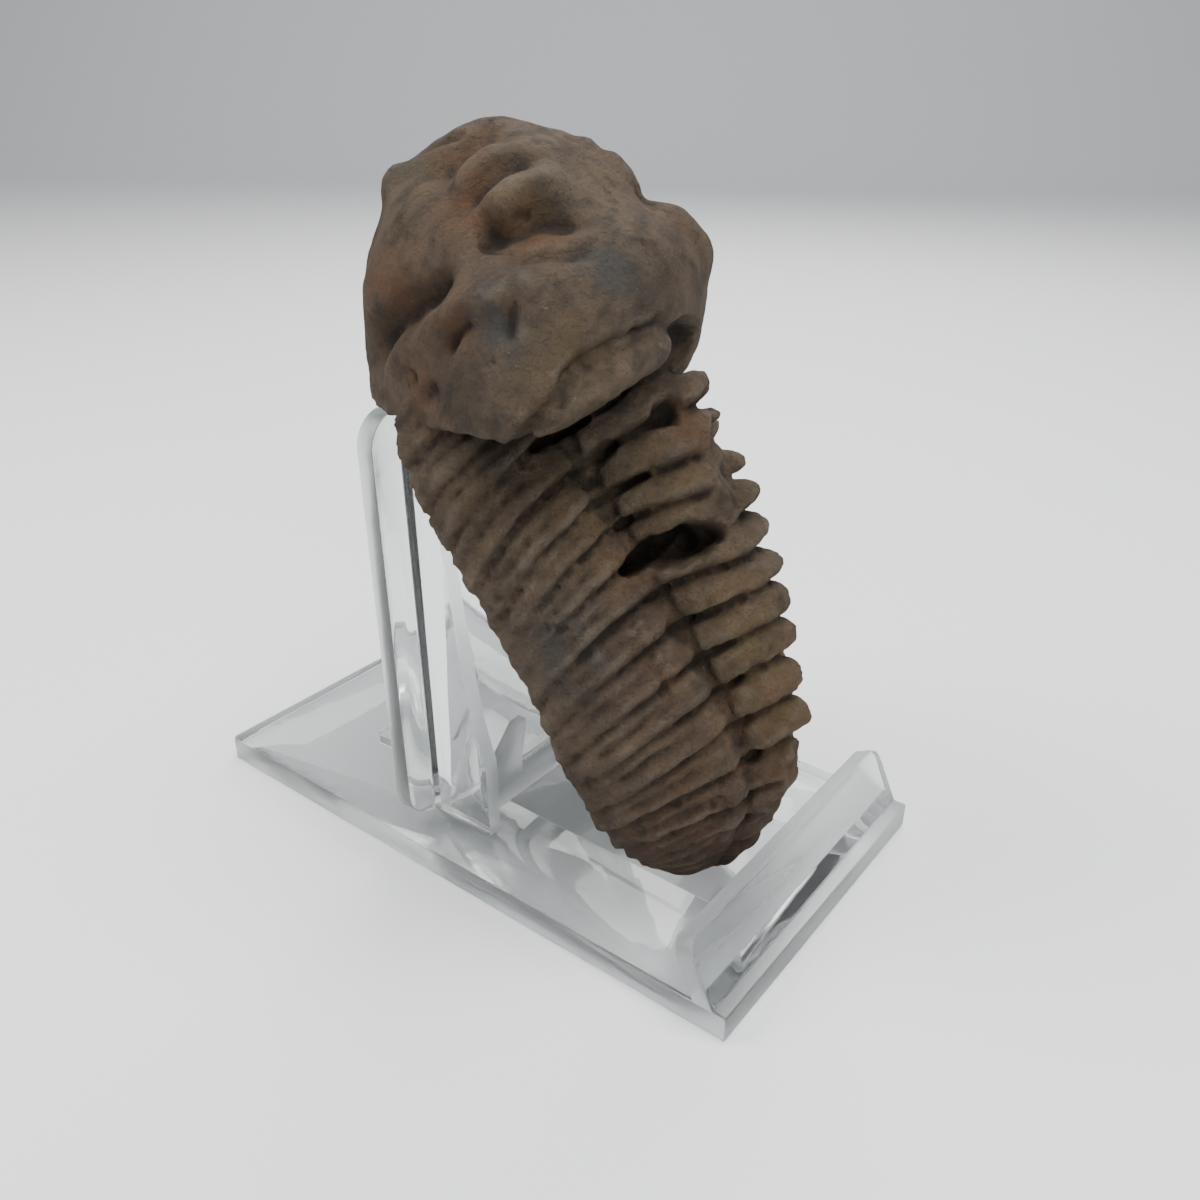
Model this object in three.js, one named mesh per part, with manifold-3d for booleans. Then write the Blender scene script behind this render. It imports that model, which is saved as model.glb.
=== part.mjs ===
// A fossil Flexicalymene trilobite of brown stone, leaning on a small clear display stand.
// Millimetres. X runs to the right as seen from the stand's front, Y to its back and Z up.
// The origin is the middle of the underside of the stand's base plate.
import * as THREE from 'three';
import { mergeVertices } from 'three/addons/utils/BufferGeometryUtils.js';
import Module from 'manifold-3d';

const wasm = await Module();
wasm.setup();

const GAP = 0.3;

// Base plate of the stand, with a window behind the back rest and a shallow channel before it
const BASE_WIDTH = 46.4;
const BASE_DEPTH = 85;
const BASE_THICKNESS = 3.5;
const BASE_CORNER = 0.8;
const CHANNEL_HALF_WIDTH = 9.2;
const CHANNEL_DEPTH = 0.5;
const CHANNEL_FRONT_Y = -31.5;
const WINDOW_FRONT_Y = 6.4;
const WINDOW_BACK_Y = 26.4;

// Front lip, which leans back and keeps the fossil's tail from sliding off
const LIP_HEIGHT = 11;
const LIP_LEAN = THREE.MathUtils.degToRad(25.9);
const LIP_THICKNESS = 2.5;
const LIP_CORNER = 2.2;

// Back rest: an upright plate with two side gussets and a cross bar
const REST_WIDTH = 42.2;
const REST_TOP_Z = 58.8;
const REST_FRONT_Y = 6.8;
const REST_THICKNESS = 2.5;
const REST_CORNER = 4.2;
const REST_LEAN = THREE.MathUtils.degToRad(1.6);
const TONGUE_HALF_WIDTH = CHANNEL_HALF_WIDTH - 0.4;
const GUSSET_X = 15.9;
const GUSSET_THICKNESS = 2;
const GUSSET_REACH = 10;
const GUSSET_EDGE = [[10, 14.8], [8.2, 20.7], [7.0, 29.2], [5.6, 40.7], [3.4, 56]];
const BAR_HEIGHT = 2.4;
const BAR_DEPTH = 2;
const BAR_Z = 6.8;
const BAR_REACH = 9.8;
const TAB_THICKNESS = 1.4;
const TAB_OUTLINE = [[15.1, 8], [15.1, 12.3], [10.2, 17.1], [8.4, 17.2], [9.6, 11.2], [9.5, 8]];

// Trunk of the fossil. Its smooth back is drawn over sections u, from -3 at the tail's tip to 16
// inside the head. Margin and crest rows are [u, Y, Z], width rows [u, half width].
const MIDLINE_X = -3.6;
const TAIL_TIP = -3;
const NECK = 13;
const TRUNK_END = 16;
const MARGIN_LINE = [
  [-3, -28.0, 5.4], [-2.4, -26.8, 7.4], [-1.5, -25.8, 9.2], [0, -24.6, 12.0], [3, -21.5, 20.0],
  [6, -18.6, 29.8], [9, -13.0, 40.2], [12, -4.4, 51.6], [14.4, 0.6, 59.6], [16, 3.4, 65.4],
];
const CREST_LINE = [
  [-3, -28.7, 4.1], [-2.3, -31.4, 6.4], [-1.2, -34.4, 11.0], [0, -37.5, 18.4], [1, -38.2, 22.8],
  [3, -36.6, 31.8], [6, -32.2, 43.8], [9, -26.4, 54.2], [12, -20.2, 64.4], [14.4, -12.0, 72.0],
  [16, -6.0, 77.0],
];
const HALF_WIDTHS = [
  [-3, 2.2], [-2.4, 6.8], [-1.5, 10.4], [0, 13.4], [3, 17.4], [6, 20.0], [9, 21.2], [12, 22.0],
  [14.4, 21.6], [15.2, 18.6], [16, 13],
];
const RIGHT_SHARES = [[-3, 1], [9, 1], [12, 0.92], [14.4, 0.74], [16, 0.7]];
const AXIS_SHARES = [[-3, 0.26], [0, 0.27], [3, 0.28], [6, 0.33], [9, 0.39], [16, 0.42]];
const FURROW_SHARES = [[-3, 0.74], [0, 0.74], [3, 0.72], [6, 0.6], [9, 0.52], [16, 0.46]];
const PLEURA_SPREAD = 0.9;
const PLEURA_RISE = 1.0;
const RING_SPREAD = 1.25;
const RING_RISE = 1.1;
const BELLY_BULGE = 2.2;

// The 13 segments are numbered from 0 at the tail shield to 13 at the neck. The first rows say on
// which section a segment's hind edge crosses the furrow beside the axis, the others how many
// sections it is swept from there towards the tail, at the margin and at the crest.
const SEGMENT_SECTIONS = [
  [-3, -3], [0, -0.2], [1, 0.75], [2, 1.85], [3, 2.95], [4, 4.15], [5, 5.3], [6, 6.45], [7, 7.6],
  [8, 8.65], [9, 9.6], [10, 10.4], [11, 11.35], [12, 12.45], [13, 13.3], [14.4, 14.6], [16, 16],
];
const MARGIN_SWEEPS = [
  [-3, 0], [0, 0.2], [2, 0.3], [4, 0.42], [6, 0.58], [8, 1.0], [11, 1.3], [13, 1.3], [14.4, 0.9],
  [16, 0],
];
const CREST_SWEEPS = [
  [-3, 0], [3, 0], [4, 0.1], [5, 0.28], [6, 0.45], [7, 0.65], [8, 0.75], [9, 0.7], [10, 0.52],
  [11, 0.12], [12, 0], [16, 0],
];
const PLEURA_GROOVE = 1.4;
const RING_GROOVE = 2.2;
const FURROW_STEP = 0.9;
const PLEURA_END = 0.9;
const MARGIN_GROOVE_SHARE = 0.4;
const RIGHT_KNOBS = [[-3, 1.2], [3, 1.6], [8, 2.6], [16, 2.6]];

// A broken ring leaves a deep ragged cavity on the left flank of the axis
const CAVITY = { segment: 7.95, halfLength: 0.42, depth: 5.2, from: 0.46, to: 0.92 };
const NECK_GAP = { segment: 12.05, halfLength: 0.26, depth: 2.6, from: 0.42, to: 0.8 };

// Neck ring: a roll bent round the neck under the head's hind edge. Rows are [t, X, Y, Z, radius].
const NECK_RING = [
  [0, -23.0, -14.4, 61.8, 0.8], [0.18, -21.2, -16.9, 63.6, 1.6], [0.36, -18.4, -18.4, 65.4, 1.9],
  [0.54, -15.6, -19.0, 66.7, 2.0], [0.72, -11.8, -19.5, 67.7, 2.0], [0.88, -8.2, -20.0, 68.5, 1.9],
  [1, -5.4, -20.2, 68.8, 1.0],
];
const NECK_RING_FLATNESS = 0.85;

// Head: a vaulted shield bent over the top of the back rest. Its sections are numbered by u from
// 0 at the hind edge to 1 at the front and fan out from the underside to the crown.
const HEAD_MIDLINE_X = -5.6;
const HEAD_MARGIN = [
  [0, -14, 61.5], [0.25, -8.5, 61.6], [0.55, -1, 60.8], [0.7, 3.5, 60.0], [0.82, 8, 59.7],
  [0.92, 12.5, 59.8], [1, 16.2, 60.4],
];
const HEAD_CREST = [
  [0, -20.6, 71.0], [0.1, -18.2, 77.4], [0.25, -12.4, 82.2], [0.4, -6.4, 86.6], [0.55, 0.0, 88.0],
  [0.7, 6.5, 86.6], [0.82, 12.6, 82.0], [0.92, 16.6, 74.6], [1, 18.0, 66.5],
];
const HEAD_HALF_WIDTHS = [
  [0, 18.6], [0.25, 19.0], [0.4, 18.6], [0.55, 17.6], [0.7, 16.2], [0.82, 14.0], [0.92, 10.6], [1, 5.0],
];
const HEAD_RIGHT_SHARES = [[0, 0.64], [0.1, 0.9], [0.25, 1], [0.5, 1], [1, 1]];
const HEAD_FULLNESS = 0.92;
const HEAD_ROOF = 0.96;

// Lobes, furrows and pits of the head, each a soft line: where it starts and ends, how far it
// spreads and how high it stands. Those marked both are on the right half as well, lower.
const HEAD_FORMS = {
  frontalLobe: { from: [-10, 6.5, 85.6], to: [-7, 2.5, 87.8], spread: 3.4, height: 0.5, both: true },
  frontFurrow: {
    from: [-14.0, 1.8, 85.0], to: [-10.4, -0.4, 87.2], spread: 2.2, height: -1.7, both: true,
  },
  lobeFurrow: {
    from: [-16.4, -4.2, 82.9], to: [-12.0, -6.0, 85.4], spread: 2.1, height: -1.4, both: true,
  },
  sideLobe: {
    from: [-15.4, -8.0, 82.2], to: [-11.0, -9.4, 83.8], spread: 2.8, height: 1.4, both: true,
  },
  lobeHollow: {
    from: [-17.6, -8.6, 80.2], to: [-12.6, -12.2, 81.2], spread: 2.4, height: -2.1, both: true,
  },
  eyeLobe: {
    from: [-22.0, -8.0, 73.2], to: [-19.6, -12.6, 75.4], spread: 2.4, height: 1.4, both: false,
  },
  rightEye: {
    from: [4.0, -13.8, 78.8], to: [6.0, -15.8, 75.4], spread: 3.2, height: 1.8, both: false,
  },
  cheekFurrow: {
    from: [-20.4, 6.0, 67.6], to: [-21.6, -3.6, 74.6], spread: 2.4, height: -2.3, both: true,
  },
  frontBorder: {
    from: [-17.0, 5.6, 79.4], to: [-19.2, 7.6, 71.4], spread: 3.6, height: 0.9, both: true,
  },
  borderKnob: {
    from: [-13.2, 9.6, 81.6], to: [-12.6, 9.2, 82.6], spread: 2.2, height: 1.7, both: false,
  },
};
const RIGHT_FORM_SHARE = 0.4;

const STONE = { color: 0x75614e, roughness: 0.9, metalness: 0 };
const CLEAR = { color: 0xdfe6e8, roughness: 0.12, metalness: 0, transparent: true, opacity: 0.45 };

// Value at t of a smooth curve through rows of [t, value], taken from the given column
function along(rows, t, column = 1) {
  const last = rows.length - 1;
  let i = 0;
  while (i < last - 1 && t > rows[i + 1][0]) i += 1;
  const slope = (k) => {
    const a = rows[Math.max(k - 1, 0)];
    const b = rows[Math.min(k + 1, last)];
    return (b[column] - a[column]) / (b[0] - a[0]);
  };
  const [p, q] = [rows[i], rows[i + 1]];
  const span = q[0] - p[0];
  const s = (t - p[0]) / span;
  const s2 = s * s;
  const s3 = s2 * s;
  return (2 * s3 - 3 * s2 + 1) * p[column] + (s3 - 2 * s2 + s) * span * slope(i)
    + (3 * s2 - 2 * s3) * q[column] + (s3 - s2) * span * slope(i + 1);
}

function bell(distance, width) {
  return Math.exp(-((distance / width) ** 2));
}

function toSolid(geometry) {
  const bare = geometry.clone();
  bare.deleteAttribute('normal');
  bare.deleteAttribute('uv');
  const merged = mergeVertices(bare, 1e-4);
  const vertProperties = new Float32Array(merged.attributes.position.array);
  const triVerts = new Uint32Array(merged.index.array);
  return new wasm.Manifold(new wasm.Mesh({ numProp: 3, vertProperties, triVerts }));
}

function toMesh(solid, name, finish) {
  const { vertProperties, triVerts } = solid.getMesh();
  const geometry = new THREE.BufferGeometry();
  geometry.setAttribute('position', new THREE.BufferAttribute(new Float32Array(vertProperties), 3));
  geometry.setIndex(new THREE.BufferAttribute(new Uint32Array(triVerts), 1));
  const mesh = new THREE.Mesh(geometry, new THREE.MeshStandardMaterial(finish));
  mesh.name = name;
  return mesh;
}

function box(x0, x1, y0, y1, z0, z1) {
  const geometry = new THREE.BoxGeometry(x1 - x0, y1 - y0, z1 - z0);
  geometry.translate((x0 + x1) / 2, (y0 + y1) / 2, (z0 + z1) / 2);
  return geometry;
}

// Rectangle from the lower left corner, with its own radius at the bottom and at the top corners
function roundedRectangle(x0, z0, x1, z1, bottomRadius, topRadius) {
  const shape = new THREE.Shape();
  const half = Math.PI / 2;
  shape.moveTo(x0 + bottomRadius, z0);
  shape.lineTo(x1 - bottomRadius, z0);
  if (bottomRadius > 0) shape.absarc(x1 - bottomRadius, z0 + bottomRadius, bottomRadius, -half, 0);
  shape.lineTo(x1, z1 - topRadius);
  shape.absarc(x1 - topRadius, z1 - topRadius, topRadius, 0, half);
  shape.lineTo(x0 + topRadius, z1);
  shape.absarc(x0 + topRadius, z1 - topRadius, topRadius, half, 2 * half);
  shape.lineTo(x0, z0 + bottomRadius);
  if (bottomRadius > 0) {
    shape.absarc(x0 + bottomRadius, z0 + bottomRadius, bottomRadius, 2 * half, 3 * half);
  }
  return shape;
}

// Outline drawn in X and Z, given its thickness along Y from the face at y = 0 backwards
function panel(shape, thickness) {
  const geometry = new THREE.ExtrudeGeometry(shape, {
    depth: thickness, bevelEnabled: false, curveSegments: 6,
  });
  geometry.rotateX(Math.PI / 2);
  geometry.translate(0, thickness, 0);
  return geometry;
}

function outline(points) {
  return new THREE.Shape(points.map(([a, b]) => new THREE.Vector2(a, b)));
}

function makeStandBase() {
  const halfWidth = BASE_WIDTH / 2;
  const halfDepth = BASE_DEPTH / 2;
  const plan = roundedRectangle(-halfWidth, -halfDepth, halfWidth, halfDepth, 0, BASE_CORNER);
  const window = outline([
    [-CHANNEL_HALF_WIDTH, WINDOW_FRONT_Y], [-CHANNEL_HALF_WIDTH, WINDOW_BACK_Y],
    [CHANNEL_HALF_WIDTH, WINDOW_BACK_Y], [CHANNEL_HALF_WIDTH, WINDOW_FRONT_Y],
  ]);
  plan.holes.push(window);
  const plate = new THREE.ExtrudeGeometry(plan, {
    depth: BASE_THICKNESS, bevelEnabled: false, curveSegments: 4,
  });

  const slope = LIP_HEIGHT / Math.cos(LIP_LEAN);
  const front = roundedRectangle(-halfWidth, 0, halfWidth, slope, 0, LIP_CORNER);
  const lip = panel(front, LIP_THICKNESS);
  lip.rotateX(-LIP_LEAN);
  lip.translate(0, -halfDepth, 0);

  const channel = box(
    -CHANNEL_HALF_WIDTH, CHANNEL_HALF_WIDTH, CHANNEL_FRONT_Y, WINDOW_FRONT_Y + 1,
    BASE_THICKNESS - CHANNEL_DEPTH, BASE_THICKNESS + 1,
  );
  const below = box(-halfWidth - 1, halfWidth + 1, -halfDepth - 5, halfDepth, -10, 0);
  const solid = toSolid(plate).add(toSolid(lip)).subtract(toSolid(channel)).subtract(toSolid(below));
  return toMesh(solid, 'stand_base', CLEAR);
}

// The back rest is built standing straight with its front face at y = 0, then leaned and placed
function makeStandBack() {
  const halfWidth = REST_WIDTH / 2;
  const foot = BASE_THICKNESS + GAP;
  const plate = panel(
    roundedRectangle(-halfWidth, foot, halfWidth, REST_TOP_Z, REST_CORNER, REST_CORNER),
    REST_THICKNESS,
  );
  const tongue = box(
    -TONGUE_HALF_WIDTH, TONGUE_HALF_WIDTH, 0.3, REST_THICKNESS, GAP, foot + REST_CORNER,
  );
  let solid = toSolid(plate).add(toSolid(tongue));

  for (const side of [-1, 1]) {
    const edge = GUSSET_EDGE.map(([reach, z]) => [-reach, z]);
    const profile = outline([[0.5, foot], [-GUSSET_REACH, foot], ...edge, [0.5, REST_TOP_Z - 1]]);
    const gusset = new THREE.ExtrudeGeometry(profile, {
      depth: GUSSET_THICKNESS, bevelEnabled: false,
    });
    gusset.rotateX(Math.PI / 2);
    gusset.rotateZ(Math.PI / 2);
    gusset.translate(side * GUSSET_X - GUSSET_THICKNESS / 2, 0, 0);
    solid = solid.add(toSolid(gusset));

    const corners = TAB_OUTLINE.map(([x, z]) => [side * x, z]);
    const tab = panel(outline(side < 0 ? corners : corners.reverse()), TAB_THICKNESS);
    tab.translate(0, -BAR_REACH + 0.3, 0);
    solid = solid.add(toSolid(tab));
  }

  const bar = box(-GUSSET_X, GUSSET_X, -BAR_REACH, -BAR_REACH + BAR_DEPTH, BAR_Z, BAR_Z + BAR_HEIGHT);
  const mesh = toMesh(solid.add(toSolid(bar)), 'stand_back', CLEAR);
  mesh.rotation.x = -REST_LEAN;
  mesh.position.y = REST_FRONT_Y;
  return mesh;
}

// Height of one segment across its length: a steep hind edge at 0 and a gentle front at 1
function shingle(phase) {
  const hind = 1 - bell(phase, 0.13);
  const front = 1 - bell(1 - phase, 0.1);
  return hind * front * (1 - 0.45 * phase * phase);
}

// Strength of the segment ribs, which fade out on the tail shield
function ribStrength(segment) {
  if (segment < -0.5) return 0.45 * THREE.MathUtils.smoothstep(segment, TAIL_TIP + 0.6, -0.5);
  return 0.45 + 0.55 * THREE.MathUtils.smoothstep(segment, -0.5, 2);
}

function sectionAt(segment, v) {
  const towardsMargin = Math.max(0, 1 - 2 * v) ** 1.1;
  const towardsCrest = Math.sin(Math.PI * Math.max(0, v - 0.5)) ** 2;
  return along(SEGMENT_SECTIONS, segment) - along(MARGIN_SWEEPS, segment) * towardsMargin
    - along(CREST_SWEEPS, segment) * towardsCrest;
}

// Margin point of a section, and its height and direction from there to the crest
function sectionFrame(u) {
  const margin = [along(MARGIN_LINE, u, 1), along(MARGIN_LINE, u, 2)];
  const reach = [along(CREST_LINE, u, 1) - margin[0], along(CREST_LINE, u, 2) - margin[1]];
  const height = Math.hypot(...reach);
  return { margin, height, rise: reach.map((c) => c / height) };
}

// Point of the trunk's skin. v runs from 0 at one margin to 1 at the crest; side is -1 or 1.
function trunkPoint(segment, v, side) {
  const u = sectionAt(segment, v);
  const { margin, height, rise } = sectionFrame(u);
  const halfWidth = along(HALF_WIDTHS, u) * (side > 0 ? along(RIGHT_SHARES, u) : 1);
  const axis = halfWidth * along(AXIS_SHARES, u);
  const furrow = height * along(FURROW_SHARES, u);

  const onPleura = v <= 0.5;
  const angle = (onPleura ? v : v - 0.5) * Math.PI;
  const [cos, sin] = [Math.cos(angle), Math.sin(angle)];
  let out;
  let up;
  if (onPleura) {
    out = axis + (halfWidth - axis) * cos ** PLEURA_SPREAD;
    up = furrow * sin ** PLEURA_RISE;
  } else {
    out = axis * cos ** RING_SPREAD;
    up = furrow + (height - furrow) * sin ** RING_RISE;
  }

  const strength = ribStrength(segment);
  const rib = shingle(segment - Math.floor(segment));
  const inner = THREE.MathUtils.smoothstep(v, 0.08, 0.4);
  const groove = PLEURA_GROOVE * (MARGIN_GROOVE_SHARE + (1 - MARGIN_GROOVE_SHARE) * inner);
  let sink = (onPleura ? groove : RING_GROOVE) * (1 - rib);
  sink += FURROW_STEP * bell(v - 0.53, 0.03) - PLEURA_END * rib * bell(v - 0.44, 0.05);
  if (side > 0) sink -= along(RIGHT_KNOBS, segment) * rib * bell(v - 0.78, 0.14);
  sink *= strength;
  if (side < 0) sink += hollow(CAVITY, segment, v) + hollow(NECK_GAP, segment, v);

  const core = 0.35 * height;
  const reach = Math.hypot(out, up - core);
  const keep = Math.max(reach - sink, 1) / reach;
  const lift = core + (up - core) * keep;
  return [
    MIDLINE_X + side * out * keep,
    margin[0] + rise[0] * lift,
    margin[1] + rise[1] * lift,
  ];
}

function hollow(spot, segment, v) {
  const middle = (spot.from + spot.to) / 2;
  const reach = (spot.to - spot.from) / 2;
  const across = Math.max(0, 1 - ((v - middle) / reach) ** 4);
  return spot.depth * bell(segment - spot.segment, spot.halfLength) * across;
}

// Point of the underside, filled with stone: share runs from 0 at the right margin to 1 at the left
function bellyPoint(segment, share) {
  const [left, right] = [trunkPoint(segment, 0, -1), trunkPoint(segment, 0, 1)];
  const { rise } = sectionFrame(sectionAt(segment, 0));
  const fade = THREE.MathUtils.smoothstep(segment, TAIL_TIP, 2)
    * (1 - THREE.MathUtils.smoothstep(segment, 9, 13));
  const bulge = BELLY_BULGE * fade * Math.sin(Math.PI * share) ** 0.6;
  return [
    right[0] + (left[0] - right[0]) * share,
    right[1] + (left[1] - right[1]) * share - rise[0] * bulge,
    right[2] + (left[2] - right[2]) * share - rise[1] * bulge,
  ];
}

// Closed skin over rings of points: the rings are joined in turn, each four-sided face split
// along its shorter diagonal, and both ends are fanned shut
function skin(rings) {
  const count = rings[0].length;
  const positions = rings.flat(2);
  const index = [];
  const points = rings.flat();
  const distance = (i, j) => Math.hypot(...points[i].map((c, k) => c - points[j][k]));
  for (let i = 0; i < rings.length - 1; i += 1) {
    for (let j = 0; j < count; j += 1) {
      const a = i * count + j;
      const b = i * count + ((j + 1) % count);
      const [c, d] = [b + count, a + count];
      if (distance(a, c) <= distance(b, d)) index.push(a, b, c, a, c, d);
      else index.push(a, b, d, b, c, d);
    }
  }
  for (const end of [0, rings.length - 1]) {
    const middle = [0, 1, 2].map((k) => rings[end].reduce((sum, p) => sum + p[k], 0) / count);
    const hub = positions.length / 3;
    positions.push(...middle);
    for (let j = 0; j < count; j += 1) {
      const a = end * count + j;
      const b = end * count + ((j + 1) % count);
      if (end === 0) index.push(hub, b, a);
      else index.push(hub, a, b);
    }
  }
  const geometry = new THREE.BufferGeometry();
  geometry.setAttribute('position', new THREE.Float32BufferAttribute(positions, 3));
  geometry.setIndex(index);
  return geometry;
}

function trunkRing(segment) {
  const shares = [0, 0.06, 0.13, 0.21, 0.3, 0.38, 0.44, 0.49, 0.53, 0.59, 0.68, 0.78, 0.88];
  const ring = shares.map((v) => trunkPoint(segment, v, -1));
  ring.push(trunkPoint(segment, 1, -1));
  for (const v of [...shares].reverse()) ring.push(trunkPoint(segment, v, 1));
  const bellySteps = 8;
  for (let i = 1; i < bellySteps; i += 1) ring.push(bellyPoint(segment, i / bellySteps));
  return ring;
}

function makeTrunk() {
  const phases = [0, 0.13, 0.32, 0.56, 0.82];
  const stations = [-3, -2.85, -2.6, -2.3];
  for (let segment = -2; segment < NECK + 1; segment += 1) {
    for (const phase of phases) stations.push(segment + phase);
  }
  stations.push(NECK + 1, NECK + 1.8, TRUNK_END);
  return skin(stations.map(trunkRing));
}

// Ring of points around the neck ring's path, in a plane across it
function neckRing(t) {
  const at = (s) => new THREE.Vector3(...[1, 2, 3].map((k) => along(NECK_RING, s, k)));
  const centre = at(t);
  const ahead = at(t + 0.01).sub(at(t - 0.01)).normalize();
  const outward = new THREE.Vector3(0, 0, 1).cross(ahead).normalize();
  const upward = ahead.clone().cross(outward);
  const radius = along(NECK_RING, t, 4);
  const steps = 10;
  return Array.from({ length: steps }, (_, i) => {
    const angle = (2 * Math.PI * i) / steps;
    return centre.clone()
      .addScaledVector(outward, radius * NECK_RING_FLATNESS * Math.cos(angle))
      .addScaledVector(upward, radius * Math.sin(angle))
      .toArray();
  });
}

function makeNeckRing() {
  const rows = 14;
  return skin(Array.from({ length: rows + 1 }, (_, i) => neckRing(i / rows)));
}

// Point of the head's smooth vault. v runs from 0 at one margin to 1 at the crown.
function headPoint(u, v, side) {
  const margin = [along(HEAD_MARGIN, u, 1), along(HEAD_MARGIN, u, 2)];
  const crest = [along(HEAD_CREST, u, 1), along(HEAD_CREST, u, 2)];
  const halfWidth = along(HEAD_HALF_WIDTHS, u) * (side > 0 ? along(HEAD_RIGHT_SHARES, u) : 1);
  const angle = (v * Math.PI) / 2;
  const out = halfWidth * Math.cos(angle) ** HEAD_FULLNESS;
  const rise = Math.sin(angle) ** HEAD_ROOF;
  const point = new THREE.Vector3(
    HEAD_MIDLINE_X + side * out,
    margin[0] + (crest[0] - margin[0]) * rise,
    margin[1] + (crest[1] - margin[1]) * rise,
  );
  const core = new THREE.Vector3(
    HEAD_MIDLINE_X,
    margin[0] + (crest[0] - margin[0]) * 0.35,
    margin[1] + (crest[1] - margin[1]) * 0.35,
  );
  const outward = point.clone().sub(core).normalize();
  return point.addScaledVector(outward, headRelief(point)).toArray();
}

// Height of all forms at a point, taken from its distance to each form's line
function headRelief(point) {
  const closest = new THREE.Vector3();
  const mirror = (x) => 2 * HEAD_MIDLINE_X - x;
  let total = 0;
  for (const form of Object.values(HEAD_FORMS)) {
    for (const side of form.both ? [-1, 1] : [-1]) {
      const ends = [form.from, form.to].map(([x, y, z]) => (
        new THREE.Vector3(side < 0 ? x : mirror(x), y, z)
      ));
      new THREE.Line3(...ends).closestPointToPoint(point, true, closest);
      const share = side < 0 ? 1 : RIGHT_FORM_SHARE;
      total += share * form.height * bell(point.distanceTo(closest), form.spread);
    }
  }
  return total;
}

function headRing(u) {
  const shares = [0, 0.06, 0.13, 0.2, 0.27, 0.34, 0.41, 0.48, 0.55, 0.62, 0.69, 0.76, 0.84, 0.92];
  const ring = shares.map((v) => headPoint(u, v, -1));
  ring.push(headPoint(u, 1, -1));
  for (const v of [...shares].reverse()) ring.push(headPoint(u, v, 1));
  const [left, right] = [ring[0], ring[ring.length - 1]];
  const steps = 6;
  for (let i = 1; i < steps; i += 1) {
    ring.push(right.map((c, k) => c + ((left[k] - c) * i) / steps));
  }
  return ring;
}

function makeHead() {
  const rows = 44;
  return skin(Array.from({ length: rows + 1 }, (_, i) => headRing(i / rows)));
}

function makeTrilobite() {
  const solid = toSolid(makeTrunk()).add(toSolid(makeNeckRing())).add(toSolid(makeHead()));
  return toMesh(solid, 'trilobite', STONE);
}

const model = new THREE.Group();
model.add(makeStandBase(), makeStandBack(), makeTrilobite());

export default model;
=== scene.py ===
"""Finished look of a trilobite fossil that leans, tail down, on a small clear display stand.

Lengths in the classes are millimetres in the model's own frame: X to the right of the stand's
front, Y to its back, Z up, from the middle of the base plate's underside. Meshes are metres.
"""
from __future__ import annotations

import logging
import math
from dataclasses import dataclass, field
from enum import Enum

import bmesh
import bpy
import numpy as np
from mathutils import Matrix, Vector
from numpy.typing import NDArray


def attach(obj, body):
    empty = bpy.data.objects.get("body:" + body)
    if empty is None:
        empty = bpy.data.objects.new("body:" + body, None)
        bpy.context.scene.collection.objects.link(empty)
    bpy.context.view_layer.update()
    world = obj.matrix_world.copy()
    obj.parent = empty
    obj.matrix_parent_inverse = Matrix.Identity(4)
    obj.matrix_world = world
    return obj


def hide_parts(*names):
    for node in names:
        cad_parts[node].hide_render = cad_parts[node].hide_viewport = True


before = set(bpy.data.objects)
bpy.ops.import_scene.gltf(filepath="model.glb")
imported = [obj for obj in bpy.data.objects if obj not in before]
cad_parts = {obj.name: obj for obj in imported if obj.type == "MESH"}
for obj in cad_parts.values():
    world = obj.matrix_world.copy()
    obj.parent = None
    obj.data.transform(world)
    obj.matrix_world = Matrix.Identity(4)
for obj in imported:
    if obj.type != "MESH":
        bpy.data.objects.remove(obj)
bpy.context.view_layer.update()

LOG = logging.getLogger("trilobite")
MM = 0.001

Array = NDArray[np.float64]
Colour = tuple[float, float, float]
Point = tuple[float, float, float]
Row = tuple[float, ...]


class Side(Enum):
    """The two sides of the animal, as the sign of X from its midline."""

    LEFT = -1
    RIGHT = 1


def curve(rows: list[Row], at: Array) -> Array:
    """Follow a smooth curve through rows of a parameter and its values.

    Each span is a cubic that meets its ends with the slope between their neighbours.

    Args:
        rows: The parameter first, then one or more values, in rising order.
        at: The parameters to look up, in any shape.

    Returns:
        The values, on one more axis than the parameters have.
    """
    table = np.asarray(rows, float)
    knots, values = table[:, 0], table[:, 1:]
    count = len(knots)
    before = np.maximum(np.arange(count) - 1, 0)
    after = np.minimum(np.arange(count) + 1, count - 1)
    slopes = (values[after] - values[before]) / (knots[after] - knots[before])[:, None]
    i = np.clip(np.searchsorted(knots, at) - 1, 0, count - 2)
    span = knots[i + 1] - knots[i]
    s = ((at - knots[i]) / span)[..., None]
    span = span[..., None]
    return (
        (2 * s**3 - 3 * s**2 + 1) * values[i]
        + (s**3 - 2 * s**2 + s) * span * slopes[i]
        + (3 * s**2 - 2 * s**3) * values[i + 1]
        + (s**3 - s**2) * span * slopes[i + 1]
    )


def bell(distance: Array, width: float) -> Array:
    """Give 1 at no distance, falling smoothly to nothing over about twice the width."""
    return np.exp(-((distance / width) ** 2))


def ease(value: Array, low: float, high: float) -> Array:
    """Rise smoothly from 0 at low to 1 at high."""
    t = np.clip((value - low) / (high - low), 0.0, 1.0)
    return t * t * (3 - 2 * t)


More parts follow.
